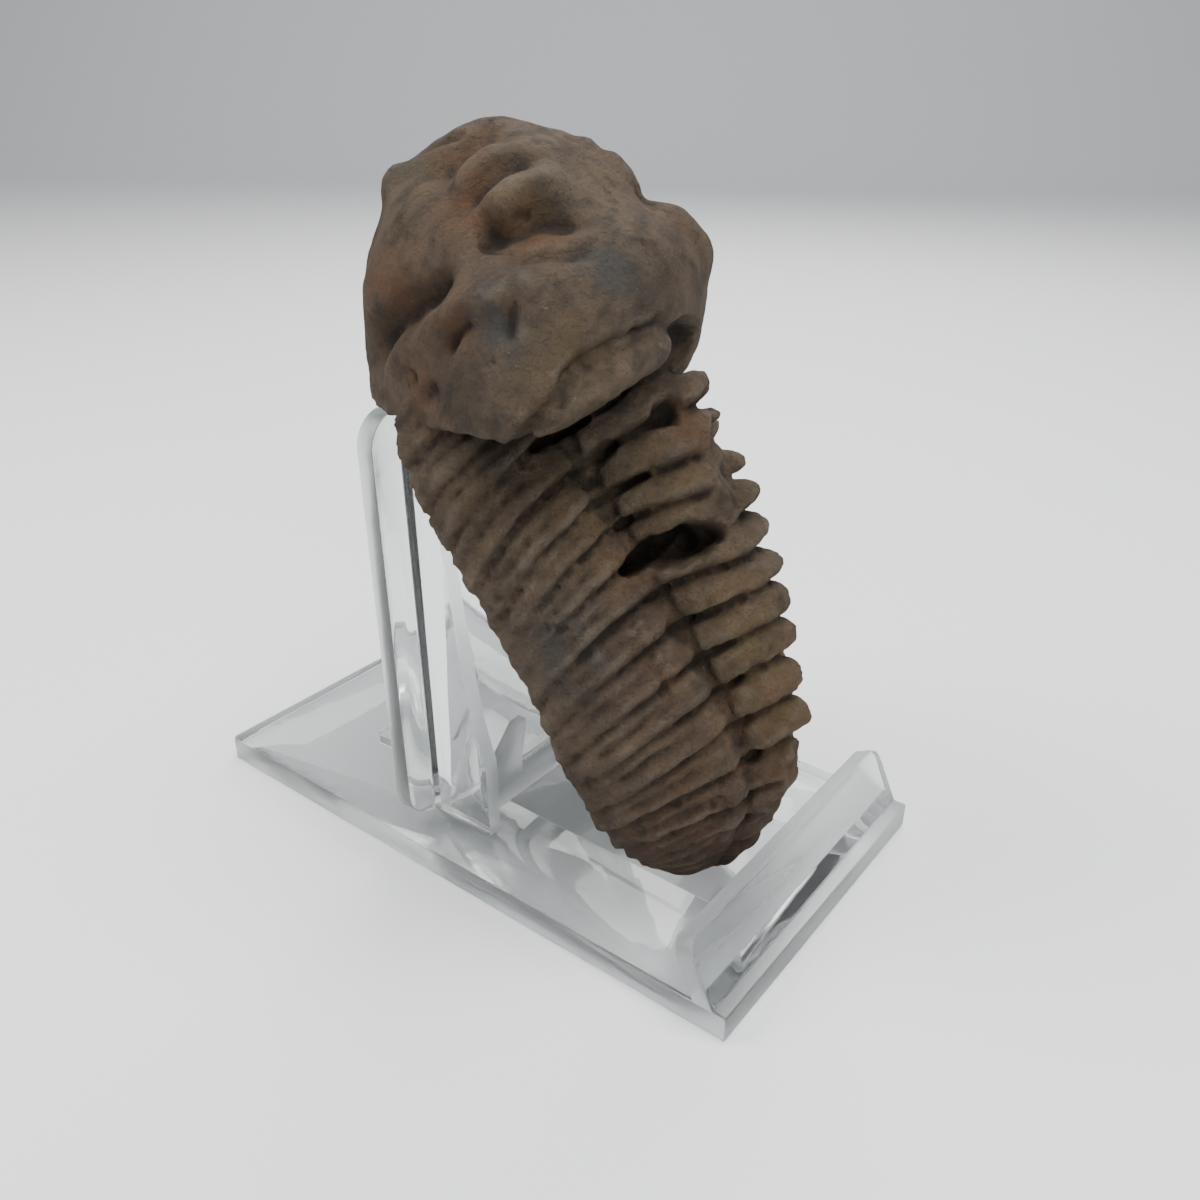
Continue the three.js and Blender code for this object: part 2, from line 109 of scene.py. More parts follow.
def lattice(cells: NDArray[np.int64], seed: int) -> Array:
    """Give each whole-number cell a fixed value between -1 and 1.

    The cell's numbers are multiplied by large primes and folded together bit by bit.

    Args:
        cells: Whole numbers, three on the last axis.
        seed: Picks another set of values.

    Returns:
        One value for each cell.
    """
    with np.errstate(over="ignore"):
        mixed = cells[..., 0] * 73856093 ^ cells[..., 1] * 19349663 ^ cells[..., 2] * 83492791
        mixed = (mixed ^ (seed * 2654435761)) & 0xFFFFFFFF
        mixed = ((mixed ^ (mixed >> 15)) * 2246822519) & 0xFFFFFFFF
        mixed = ((mixed ^ (mixed >> 13)) * 3266489917) & 0xFFFFFFFF
        mixed = mixed ^ (mixed >> 16)
    return mixed / 2147483647.5 - 1.0


def noise(points: Array, scale: float, seed: int = 0) -> Array:
    """Give smooth value noise between about -1 and 1.

    The values of the eight cell corners around each point are blended by eased distances.

    Args:
        points: Places, three coordinates on the last axis.
        scale: Size of one cell, in the points' unit.
        seed: Picks another pattern.

    Returns:
        One value for each place.
    """
    place = points / scale
    cell = np.floor(place).astype(np.int64)
    t = place - cell
    t = t * t * (3 - 2 * t)
    total = np.zeros(points.shape[:-1])
    for corner in np.ndindex(2, 2, 2):
        step = np.array(corner)
        weight = np.where(step == 1, t, 1 - t).prod(axis=-1)
        total += weight * lattice(cell + step, seed)
    return total


def layered(points: Array, scale: float, octaves: int, seed: int = 0) -> Array:
    """Add noises, each at half the scale and a little over half the height of the last."""
    total = np.zeros(points.shape[:-1])
    for i in range(octaves):
        total += noise(points, scale / 2**i, seed + i) * 0.55**i
    return total


def grid_normals(points: Array) -> Array:
    """Give unit normals of a surface on a grid, from the cross of its two directions.

    Args:
        points: A grid of places, rows by columns by three.

    Returns:
        One normal for each place, pointing to the outside of a skin whose columns run
        from the left over the top to the right while its rows run to the head.
    """
    along = np.gradient(points, axis=0)
    across = np.gradient(points, axis=1)
    normal = np.cross(across, along)
    return normal / np.maximum(np.linalg.norm(normal, axis=-1, keepdims=True), 1e-9)


def closed_skin(rings: Array) -> tuple[Array, list[tuple[int, ...]]]:
    """Join closed rings of points in turn, and shut both ends with a fan.

    Args:
        rings: Ring by ring, the points around it, three coordinates each.

    Returns:
        The points and the faces.
    """
    count, around = rings.shape[:2]
    i, j = np.meshgrid(np.arange(count - 1), np.arange(around), indexing="ij")
    a = i * around + j
    b = i * around + (j + 1) % around
    quads = np.stack([a, b, b + around, a + around], axis=-1).reshape(-1, 4)
    hubs = rings[[0, -1]].mean(axis=1)
    first, last = count * around, count * around + 1
    k = np.arange(around)
    following = (k + 1) % around
    base = (count - 1) * around
    start = np.stack([np.full(around, first), following, k], axis=-1)
    finish = np.stack([np.full(around, last), base + k, base + following], axis=-1)
    points = np.concatenate([rings.reshape(-1, 3), hubs])
    faces = [tuple(face) for face in quads.tolist() + start.tolist() + finish.tolist()]
    return points, faces


@dataclass(frozen=True)
class Gap:
    """A place on the left half where the shell is broken and a dark hollow shows.

    It lies on a segment line and runs across the back from start to end, which are shares of
    the way from the margin up to the crest. Its half length is in segments.
    """

    segment: float
    half_length: float
    start: float
    end: float
    depth: float


@dataclass(frozen=True)
class Crust:
    """A line along which grainy stone still fills the furrows."""

    start: Point
    end: Point
    radius: float


def line_distance(points: Array, start: Point, end: Point) -> Array:
    """Measure from points to the nearest place of the straight line between two others."""
    first, run = np.array(start), np.array(end) - np.array(start)
    t = np.clip(((points - first) @ run) / (run @ run), 0, 1)
    return np.linalg.norm(points - first - t[..., None] * run, axis=-1)


@dataclass
class Trunk:
    """Thirteen ribbed segments and the tail shield.

    The smooth back is drawn over sections u, from -3 at the tail's tip to 16 inside the head.
    The segments are numbered from 0 at the tail shield to 13 at the neck. Across the back w
    runs from -1 at the left margin over the crest at 0 to 1 at the right margin, and v is 0
    at either margin and 1 at the crest.
    """

    midline: float = -3.6
    first: float = -3.0
    last: float = 16.0
    margin: list[Row] = field(default_factory=lambda: [
        (-3, -28.0, 5.4), (-2.4, -26.8, 7.4), (-1.5, -25.8, 9.2), (0, -24.6, 12.0),
        (3, -21.5, 20.0), (6, -18.6, 29.8), (9, -13.0, 40.2), (12, -4.4, 51.6), (14.4, 0.6, 59.6),
        (16, 3.4, 65.4),
    ])
    crest: list[Row] = field(default_factory=lambda: [
        (-3, -28.7, 4.1), (-2.3, -31.4, 6.4), (-1.2, -34.4, 11.0), (0, -37.5, 18.4),
        (1, -38.2, 22.8), (3, -36.6, 31.8), (6, -32.2, 43.8), (9, -26.4, 54.2),
        (12, -20.2, 64.4), (14.4, -12.0, 72.0), (16, -6.0, 77.0),
    ])
    half_width: list[Row] = field(default_factory=lambda: [
        (-3, 2.2), (-2.4, 6.8), (-1.5, 10.4), (0, 13.4), (3, 17.4), (6, 20.0), (9, 21.2),
        (12, 22.0), (14.4, 21.6), (15.2, 18.6), (16, 13),
    ])
    right_share: list[Row] = field(default_factory=lambda: [
        (-3, 1), (9, 1), (12, 0.92), (14.4, 0.74), (16, 0.7),
    ])
    axis_share: list[Row] = field(default_factory=lambda: [
        (-3, 0.26), (0, 0.27), (3, 0.28), (6, 0.33), (9, 0.39), (16, 0.42),
    ])
    furrow_share: list[Row] = field(default_factory=lambda: [
        (-3, 0.74), (0, 0.74), (3, 0.72), (6, 0.6), (9, 0.52), (16, 0.46),
    ])
    sections: list[Row] = field(default_factory=lambda: [
        (-3, -3), (0, -0.2), (1, 0.75), (2, 1.85), (3, 2.95), (4, 4.15), (5, 5.3), (6, 6.45),
        (7, 7.6), (8, 8.65), (9, 9.6), (10, 10.4), (11, 11.35), (12, 12.45), (13, 13.3),
        (14.4, 14.6), (16, 16),
    ])
    margin_sweeps: list[Row] = field(default_factory=lambda: [
        (-3, 0), (0, 0.2), (2, 0.3), (4, 0.42), (6, 0.58), (8, 1.0), (11, 1.3), (13, 1.3),
        (14.4, 0.9), (16, 0),
    ])
    crest_sweeps: list[Row] = field(default_factory=lambda: [
        (-3, 0), (3, 0), (4, 0.1), (5, 0.28), (6, 0.45), (7, 0.65), (8, 0.75), (9, 0.7),
        (10, 0.52), (11, 0.12), (12, 0), (16, 0),
    ])
    right_knobs: list[Row] = field(default_factory=lambda: [
        (-3, 1.2), (3, 1.6), (8, 2.6), (16, 2.6),
    ])
    gaps: tuple[Gap, ...] = (
        Gap(segment=7.95, half_length=0.5, start=0.42, end=0.94, depth=9.0),
        Gap(segment=12.0, half_length=0.26, start=0.42, end=0.86, depth=4.0),
        Gap(segment=11.0, half_length=0.2, start=0.5, end=0.72, depth=3.4),
        Gap(segment=11.1, half_length=0.3, start=0.76, end=1.04, depth=3.2),
        Gap(segment=10.0, half_length=0.2, start=0.5, end=0.74, depth=3.2),
        Gap(segment=9.0, half_length=0.14, start=0.5, end=0.7, depth=2.0),
        Gap(segment=6.0, half_length=0.14, start=0.5, end=0.8, depth=1.8),
        Gap(segment=5.0, half_length=0.14, start=0.5, end=0.78, depth=2.0),
        Gap(segment=4.0, half_length=0.16, start=0.5, end=0.74, depth=2.4),
        Gap(segment=3.0, half_length=0.16, start=0.5, end=0.7, depth=2.4),
        Gap(segment=2.0, half_length=0.2, start=0.5, end=0.74, depth=2.4),
    )
    crusts: tuple[Crust, ...] = (
        Crust((1.6, -22.0, 57.6), (-1.5, -26.0, 54.0), 2.4),
        Crust((-0.7, -23.3, 57.7), (-3.6, -27.5, 52.0), 2.6),
        Crust((-2.6, -38.6, 22.6), (-3.4, -36.6, 14.6), 3.6),
    )
    crust_level: float = -0.3
    crust_grain: float = 0.55
    pleura_spread: float = 0.9
    pleura_rise: float = 1.0
    ring_spread: float = 1.25
    ring_rise: float = 1.1
    pleura_groove: float = 2.4
    margin_groove_share: float = 0.35
    ring_groove: float = 2.5
    pleural_furrow: float = 0.8
    streaks: float = 0.3
    furrow_step: float = 1.0
    pleura_end: float = 0.9
    belly_bulge: float = 2.2
    belly_lumps: float = 0.5
    belly_way: Point = (0.0, 0.8, -0.5)
    hind_edge: float = 0.11
    front_edge: float = 0.08
    back_fall: float = 0.42
    rib_variation: float = 0.3
    wander: float = 0.08
    small_wander: float = 0.05
    tail_strength: float = 0.6
    pleura_end_at: float = 0.44
    pleura_end_spread: float = 0.05
    furrow_step_at: float = 0.53
    furrow_step_spread: float = 0.025
    knobs_at: float = 0.78
    knobs_spread: float = 0.14
    raggedness: float = 0.06
    rows: int = 640
    columns: int = 320
    belly_columns: int = 80

    def strength(self, segment: Array) -> Array:
        """Give the ribs' strength, which fades on the tail shield."""
        tail = self.tail_strength * ease(segment, -2.6, -0.5)
        body = self.tail_strength + (1 - self.tail_strength) * ease(segment, -0.5, 1.5)
        return np.where(segment < -0.5, tail, body)

    def shell(self, segment: Array, w: Array) -> Array:
        """Work out the smooth back without its ribs.

        A segment's line starts on its section at the axial furrow and is swept towards the
        tail on its way to the margin and to the crest. Each half of a section follows powers
        of a quarter circle's cosine and sine from the margin up to the axial furrow, then
        again over the axis to the crest.

        Args:
            segment: Segment numbers.
            w: Places across, from -1 to 1.

        Returns:
            Points on the skin.
        """
        v = 1 - np.abs(w)
        outer = curve(self.margin_sweeps, segment)[..., 0] * np.clip(1 - 2 * v, 0, 1) ** 1.1
        inner = curve(self.crest_sweeps, segment)[..., 0]
        inner = inner * np.sin(np.pi * np.clip(v - 0.5, 0, 1)) ** 2
        u = curve(self.sections, segment)[..., 0] - outer - inner
        margin, crest = curve(self.margin, u), curve(self.crest, u)
        reach = crest - margin
        height = np.linalg.norm(reach, axis=-1)
        rise = reach / height[..., None]
        half = curve(self.half_width, u)[..., 0]
        half = half * np.where(w > 0, curve(self.right_share, u)[..., 0], 1.0)
        axis = half * curve(self.axis_share, u)[..., 0]
        furrow = height * curve(self.furrow_share, u)[..., 0]
        pleura = v <= 0.5
        angle = np.where(pleura, v, v - 0.5) * np.pi
        cos, sin = np.abs(np.cos(angle)), np.abs(np.sin(angle))
        out = np.where(
            pleura, axis + (half - axis) * cos**self.pleura_spread, axis * cos**self.ring_spread
        )
        up = np.where(
            pleura, furrow * sin**self.pleura_rise,
            furrow + (height - furrow) * sin**self.ring_rise,
        )
        return np.stack([
            self.midline + np.sign(w) * out,
            margin[..., 0] + rise[..., 0] * up,
            margin[..., 1] + rise[..., 1] * up,
        ], axis=-1)

    def relief(self, segment: Array, w: Array, points: Array) -> Array:
        """Work out how far the ribs, furrows and gaps raise or sink the skin.

        Along the body each rib is a shingle: a steep hind edge, a full back and a gentle
        fall to the next. Across it the pleura has a furrow of its own and a blunt end.

        Args:
            segment: Segment numbers.
            w: Places across.
            points: The smooth skin's points, which place the irregularities.

        Returns:
            Height along the normal, in millimetres.
        """
        v = 1 - np.abs(w)
        wander = self.wander * noise(points, 9.0, 3) + self.small_wander * noise(points, 3.5, 4)
        station = segment + wander
        phase = station - np.floor(station)
        nearest = np.round(station)
        own = noise(np.stack([nearest * 7.3, w * 2.2, nearest * 0.0], -1), 1.0, 5)
        vary = 1 + self.rib_variation * own
        hind = 1 - bell(phase, self.hind_edge)
        front = 1 - bell(1 - phase, self.front_edge)
        rib = hind * front * (1 - self.back_fall * phase**2)
        pleura = 1 - ease(v, 0.48, 0.52)
        share = self.margin_groove_share
        groove = self.pleura_groove * (share + (1 - share) * ease(v, 0.08, 0.4))
        depth = groove * pleura + self.ring_groove * (1 - pleura)
        height = -depth * vary * (1 - rib)
        across = ease(v, 0.08, 0.16) * (1 - ease(v, 0.32, 0.44))
        height -= self.pleural_furrow * bell(phase - 0.55 - 0.25 * (0.3 - v), 0.1) * across
        height += self.pleura_end * bell(v - self.pleura_end_at, self.pleura_end_spread) * rib
        height -= self.furrow_step * bell(v - self.furrow_step_at, self.furrow_step_spread)
        round_back = np.sin(np.pi * phase) ** 0.6
        knob = curve(self.right_knobs, segment)[..., 0] * round_back
        knob *= bell(v - self.knobs_at, self.knobs_spread)
        height += np.where(w > 0, knob, 0)
        height *= self.strength(segment)
        height += self.streaks * layered(np.stack([segment * 2.6, w * 6, w * 0], -1), 1.0, 3, 7)
        ragged = self.raggedness * layered(points, 2.2, 3, 9)
        for gap in self.gaps:
            middle, half = (gap.start + gap.end) / 2, (gap.end - gap.start) / 2
            narrow = np.clip(1 - (np.abs(v - middle + ragged) / half) ** 3, 0, 1)
            length = gap.half_length * narrow * (1 + 4 * ragged)
            open_share = ease(length - np.abs(station - gap.segment), -0.02, 0.1)
            height -= np.where(w < 0, gap.depth * open_share, 0)
        crust = np.zeros_like(height)
        for line in self.crusts:
            distance = line_distance(points, line.start, line.end) / line.radius
            crust = np.maximum(crust, 1 - ease(distance + 3 * ragged, 0.7, 1.1))
        grain = self.crust_grain * layered(points, 1.4, 3, 13)
        return height + (self.crust_level + grain - height) * crust

    def rings(self) -> Array:
        """Build the closed rings of the whole trunk, the filled underside with them."""
        segment = np.linspace(self.first, self.last, self.rows)
        w = np.linspace(-1, 1, self.columns)
        ss, ww = np.meshgrid(segment, w, indexing="ij")
        smooth = self.shell(ss, ww)
        back = smooth + grid_normals(smooth) * self.relief(ss, ww, smooth)[..., None]
        share = np.linspace(0, 1, self.belly_columns + 2)[1:-1]
        left, right = back[:, :1], back[:, -1:]
        u = curve(self.sections, segment)[..., 0] - curve(self.margin_sweeps, segment)[..., 0]
        rise = curve(self.crest, u) - curve(self.margin, u)
        rise /= np.linalg.norm(rise, axis=-1, keepdims=True)
        fade = ease(segment, self.first, 2.0) * (1 - ease(segment, 9.0, 13.0))
        bulge = self.belly_bulge * fade[:, None] * np.sin(np.pi * share) ** 0.6
        belly = right + (left - right) * share[None, :, None]
        belly[..., 1] -= rise[:, :1] * bulge
        belly[..., 2] -= rise[:, 1:] * bulge
        lumps = self.belly_lumps * layered(belly, 5.0, 4, 21)[..., None]
        belly += lumps * np.array(self.belly_way)
        return np.concatenate([back, belly], axis=1)


@dataclass(frozen=True)
class Form:
    """One raised or sunk form of the head: a soft line between two places on it."""

    name: str
    start: Point
    end: Point
    radius: float
    height: float
    both_sides: bool = True


@dataclass
class Head:
    """The vaulted head shield, bent down over the top of the back rest.

    Its sections fan out from the underside, u from 0 at the hind edge to 1 at the front.
    """

    midline: float = -5.6
    margin: list[Row] = field(default_factory=lambda: [
        (0, -14, 61.5), (0.25, -8.5, 61.6), (0.55, -1, 60.8), (0.7, 3.5, 60.0),
        (0.82, 8, 59.7), (0.92, 12.5, 59.8), (1, 16.2, 60.4),
    ])
    crest: list[Row] = field(default_factory=lambda: [
        (0, -20.6, 71.0), (0.1, -18.2, 77.4), (0.25, -12.4, 82.2), (0.4, -6.4, 86.6),
        (0.55, 0, 88.0), (0.7, 6.5, 86.6), (0.82, 12.6, 82.0), (0.92, 16.6, 74.6), (1, 18.0, 66.5),
    ])
    half_width: list[Row] = field(default_factory=lambda: [
        (0, 18.6), (0.25, 19.0), (0.4, 18.6), (0.55, 17.6), (0.7, 16.2), (0.82, 14.0),
        (0.92, 10.6), (1, 5.0),
    ])
    right_share: list[Row] = field(default_factory=lambda: [
        (0, 0.64), (0.1, 0.9), (0.25, 1), (0.5, 1), (1, 1),
    ])
    side_fullness: float = 0.92
    roof_fullness: float = 0.96
    right_form_share: float = 0.4
    form_wander: float = 0.5
    forms: tuple[Form, ...] = (
        Form("frontal lobe", (-10.0, 6.5, 85.6), (-7.0, 2.5, 87.8), 3.4, 0.6),
        Form("furrow behind the frontal lobe", (-14.0, 1.8, 85.0), (-10.4, -0.4, 87.2), 1.8, -1.5),
        Form("slit at the frontal lobe", (-11.6, 6.8, 84.6), (-10.4, 3.0, 86.8), 0.6, -1.0, False),
        Form("middle side lobe", (-16.0, -1.6, 83.2), (-12.4, -3.2, 85.9), 1.4, 0.7),
        Form("furrow between side lobes", (-16.4, -4.4, 82.9), (-11.6, -6.4, 85.4), 1.3, -1.7),
        Form("large side lobe", (-15.6, -7.8, 82.2), (-12.0, -9.0, 83.6), 2.3, 1.5),
        Form("hollow under the large lobe", (-17.8, -8.6, 80.0), (-12.4, -12.2, 81.2), 1.7, -2.3),
        Form("side furrow", (-15.4, 2.0, 83.8), (-18.6, -8.9, 78.8), 1.7, -1.0),
        Form("stepped edge", (-17.6, -11.6, 78.0), (-13.6, -15.6, 78.0), 0.7, -0.8, False),
        Form("eye lobe", (-22.0, -8.0, 73.2), (-19.6, -12.6, 75.4), 2.2, 1.5, False),
        Form("right eye lobe", (4.0, -13.8, 78.8), (6.0, -15.8, 75.4), 3.0, 1.8, False),
        Form("eye slit", (-23.5, -7.0, 69.8), (-22.6, -8.8, 72.0), 0.8, -1.4),
        Form("crack beside the eye", (-19.6, -12.2, 75.9), (-21.9, -13.4, 71.3), 0.5, -1.2, False),
        Form("cheek furrow", (-20.4, 6.0, 67.6), (-21.6, -3.6, 74.6), 2.1, -2.8),
        Form("cheek ridge", (-21.3, 4.5, 65.6), (-22.6, -5.4, 71.8), 1.3, 0.9),
        Form("small pit", (-23.8, -3.6, 64.2), (-23.8, -4.2, 65.2), 1.0, -0.9, False),
        Form("front border", (-17.0, 5.6, 79.4), (-19.2, 7.6, 71.4), 3.6, 0.9),
        Form("border knob", (-13.2, 9.6, 81.6), (-12.6, 9.2, 82.6), 2.0, 1.8, False),
        Form("lump on the crown", (-0.5, -6.2, 85.9), (1.0, -7.2, 85.0), 1.4, 0.8, False),
    )
    rows: int = 300
    columns: int = 360
    base_columns: int = 60

    def shell(self, u: Array, w: Array) -> Array:
        """Work out the smooth vault: in each fanned section, half a superellipse.

        Args:
            u: Section numbers.
            w: Places across, from -1 to 1.

        Returns:
            Points on the skin.
        """
        margin, crest = curve(self.margin, u), curve(self.crest, u)
        half = curve(self.half_width, u)[..., 0]
        half = half * np.where(w > 0, curve(self.right_share, u)[..., 0], 1.0)
        angle = (1 - np.abs(w)) * np.pi / 2
        out = half * np.abs(np.cos(angle)) ** self.side_fullness
        rise = (np.abs(np.sin(angle)) ** self.roof_fullness)[..., None]
        flat = margin + (crest - margin) * rise
        return np.concatenate([(self.midline + np.sign(w) * out)[..., None], flat], axis=-1)

    def form_height(self, form: Form, points: Array, side: Side) -> Array:
        """Give a form's height at each point, from its distance to the form's line."""
        start, end = form.start, form.end
        if side is Side.RIGHT:
            start, end = ((2 * self.midline - x, y, z) for x, y, z in (start, end))
        distance = line_distance(points, start, end)
        return form.height * bell(distance, form.radius)

    def relief(self, points: Array) -> Array:
        """Add up the heights of all forms, those of both sides mirrored to the right."""
        bent = points + self.form_wander * noise(points, 3.0, 31)[..., None]
        total = np.zeros(points.shape[:-1])
        for form in self.forms:
            total += self.form_height(form, bent, Side.LEFT)
            if form.both_sides:
                total += self.right_form_share * self.form_height(form, bent, Side.RIGHT)
        return total

    def rings(self) -> Array:
        """Build the closed rings of the head, with its flat underside."""
        u = np.linspace(0, 1, self.rows)
        w = np.linspace(-1, 1, self.columns)
        uu, ww = np.meshgrid(u, w, indexing="ij")
        smooth = self.shell(uu, ww)
        top = smooth + grid_normals(smooth) * self.relief(smooth)[..., None]
        share = np.linspace(0, 1, self.base_columns + 2)[1:-1]
        base = top[:, -1:] + (top[:, :1] - top[:, -1:]) * share[None, :, None]
        return np.concatenate([top, base], axis=1)


@dataclass
class NeckRing:
    """A roll bent round the neck under the head's hind edge.

    Its path's rows hold the share of its length, then X, Y, Z and the roll's radius.
    """

    path: list[Row] = field(default_factory=lambda: [
        (0, -21.4, -15.8, 62.2, 0.5), (0.18, -20.3, -17.3, 63.9, 1.4),
        (0.36, -18.0, -18.2, 65.2, 1.8), (0.54, -15.4, -18.9, 66.4, 1.9),
        (0.72, -11.7, -19.4, 67.4, 1.9), (0.88, -8.2, -20.0, 68.3, 1.8),
        (1, -5.4, -20.2, 68.7, 1.0),
    ])
    flatness: float = 0.85
    rows: int = 120
    steps: int = 60

    def rings(self) -> Array:
        """Build closed rings across the path: each a flattened circle of the path's radius."""
        t = np.linspace(0, 1, self.rows)
        rows = curve(self.path, t)
        centre, radius = rows[:, :3], rows[:, 3, None, None]
        ahead = np.gradient(centre, axis=0)
        ahead /= np.linalg.norm(ahead, axis=1, keepdims=True)
        outward = np.cross([0.0, 0.0, 1.0], ahead)
        outward /= np.linalg.norm(outward, axis=1, keepdims=True)
        upward = np.cross(ahead, outward)
        angle = np.linspace(0, 2 * np.pi, self.steps, endpoint=False)[None, :, None]
        turned = self.flatness * np.cos(angle) * outward[:, None] + np.sin(angle) * upward[:, None]
        return centre[:, None] + radius * turned


def new_object(name: str, points: Array, faces: list[tuple[int, ...]]) -> bpy.types.Object:
    """Make a mesh object from points in millimetres.

    Args:
        name: Its name.
        points: Its vertices.
        faces: Its faces, as lists of vertex numbers.

    Returns:
        The object, linked to the scene at the origin.
    """
    mesh = bpy.data.meshes.new(name)
    mesh.from_pydata((points * MM).tolist(), [], faces)
    mesh.update()
    piece = bpy.data.objects.new(name, mesh)
    bpy.context.scene.collection.objects.link(piece)
    return piece


def apply_modifiers(piece: bpy.types.Object) -> None:
    """Replace a piece's mesh by the result of its modifiers."""
    graph = bpy.context.evaluated_depsgraph_get()
    result = bpy.data.meshes.new_from_object(piece.evaluated_get(graph))
    old = piece.data
    piece.modifiers.clear()
    piece.data = result
    result.name = piece.name
    bpy.data.meshes.remove(old)


def read_points(mesh: bpy.types.Mesh) -> Array:
    """Read a mesh's vertices, in metres."""
    flat = np.empty(len(mesh.vertices) * 3, np.float32)
    mesh.vertices.foreach_get("co", flat)
    return flat.reshape(-1, 3).astype(float)


def read_normals(mesh: bpy.types.Mesh) -> Array:
    """Read a mesh's vertex normals."""
    flat = np.empty(len(mesh.vertices) * 3, np.float32)
    mesh.vertex_normals.foreach_get("vector", flat)
    return flat.reshape(-1, 3).astype(float)


def read_edges(mesh: bpy.types.Mesh) -> NDArray[np.int64]:
    """Read the pairs of vertex numbers of a mesh's edges."""
    flat = np.empty(len(mesh.edges) * 2, np.int32)
    mesh.edges.foreach_get("vertices", flat)
    return flat.reshape(-1, 2).astype(np.int64)


def smoothed(values: Array, edges: NDArray[np.int64], rounds: int) -> Array:
    """Average each vertex's value with its neighbours', again and again.

    Args:
        values: One row of numbers for each vertex.
        edges: Pairs of neighbouring vertices.
        rounds: How many times.

    Returns:
        The averaged values.
    """
    count = len(values)
    degree = np.bincount(edges.ravel(), minlength=count)[:, None]
    for _ in range(rounds):
        total = np.zeros_like(values)
        for column in range(values.shape[1]):
            total[:, column] = np.bincount(
                edges[:, 0], values[edges[:, 1], column], count
            ) + np.bincount(edges[:, 1], values[edges[:, 0], column], count)
        values = 0.5 * values + 0.5 * total / np.maximum(degree, 1)
    return values


def set_attribute(mesh: bpy.types.Mesh, name: str, values: Array) -> None:
    """Store one number for each vertex under a name that materials can read."""
    attribute = mesh.attributes.new(name, "FLOAT", "POINT")
    attribute.data.foreach_set("value", values.astype(np.float32))


class Nodes:
    """Short calls that build a material's node tree."""

    def __init__(self, name: str) -> None:
        """Start an empty material with its output."""
        self.material = bpy.data.materials.new(name)
        self.material.use_nodes = True
        self.tree = self.material.node_tree
        self.tree.nodes.clear()
        self.out = self.tree.nodes.new("ShaderNodeOutputMaterial")

    def add(self, kind: str, **settings: object) -> bpy.types.Node:
        """Add a node; settings name its properties.

        Args:
            kind: The node's type without its ShaderNode prefix.
            settings: Property values.

        Returns:
            The node.
        """
        node = self.tree.nodes.new("ShaderNode" + kind)
        for key, value in settings.items():
            setattr(node, key, value)
        return node

    def put(self, node: bpy.types.Node, **inputs: object) -> bpy.types.Node:
        """Set or link a node's inputs, named with underscores for spaces.

        Args:
            node: The node.
            inputs: Numbers, colours or the sockets that feed them.

        Returns:
            The same node.
        """
        for key, value in inputs.items():
            socket = node.inputs[int(key[1:]) if key[1:].isdigit() else key.replace("_", " ")]
            if isinstance(value, bpy.types.NodeSocket):
                self.tree.links.new(value, socket)
            else:
                socket.default_value = value
        return node

    def place(self) -> bpy.types.NodeSocket:
        """Give the object's own coordinates."""
        return self.add("TexCoord").outputs["Object"]

    def attribute(self, name: str) -> bpy.types.NodeSocket:
        """Give a vertex attribute's number."""
        return self.add("Attribute", attribute_name=name).outputs["Fac"]

    def grain(self, size: float, detail: float = 4.0, rough: float = 0.6) -> bpy.types.NodeSocket:
        """Give noise whose features are about the given size in millimetres."""
        node = self.add("TexNoise")
        self.put(node, Vector=self.place(), Scale=1 / (size * MM), Detail=detail, Roughness=rough)
        return node.outputs["Fac"]

    def span(self, value: bpy.types.NodeSocket, low: float, high: float) -> bpy.types.NodeSocket:
        """Stretch a value so that low gives 0 and high gives 1."""
        node = self.add("MapRange", interpolation_type="SMOOTHSTEP")
        self.put(node, Value=value, From_Min=low, From_Max=high)
        return node.outputs["Result"]

    def math(self, operation: str, a: object, b: object = 0.0) -> bpy.types.NodeSocket:
        """Combine two numbers."""
        node = self.add("Math", operation=operation)
        self.put(node, _0=a, _1=b)
        return node.outputs[0]

    def blend(
        self, fac: object, a: object, b: object, blend_type: str = "MIX"
    ) -> bpy.types.NodeSocket:
        """Mix two colours.

        Args:
            fac: Share of the second, a number or a socket.
            a: First colour or socket.
            b: Second colour or socket.
            blend_type: How they are mixed.

        Returns:
            The mixed colour.
        """
        node = self.add("Mix", data_type="RGBA", blend_type=blend_type)
        sockets = (node.inputs[0], node.inputs[6], node.inputs[7])
        for socket, value in zip(sockets, (fac, a, b)):
            if isinstance(value, bpy.types.NodeSocket):
                self.tree.links.new(value, socket)
            elif isinstance(value, tuple):
                socket.default_value = (*value, 1.0)
            else:
                socket.default_value = value
        return node.outputs[2]

    def bump(
        self, height: bpy.types.NodeSocket, strength: float, distance: float,
        under: bpy.types.NodeSocket | None = None,
    ) -> bpy.types.NodeSocket:
        """Turn a height into a bumped normal, on top of another where one is given."""
        node = self.add("Bump")
        self.put(node, Strength=strength, Distance=distance * MM, Height=height)
        if under is not None:
            self.put(node, Normal=under)
        return node.outputs["Normal"]

    def finish(self, shader: bpy.types.Node) -> bpy.types.Material:
        """Send the shader to the output and give the material."""
        self.tree.links.new(shader.outputs[0], self.out.inputs["Surface"])
        return self.material


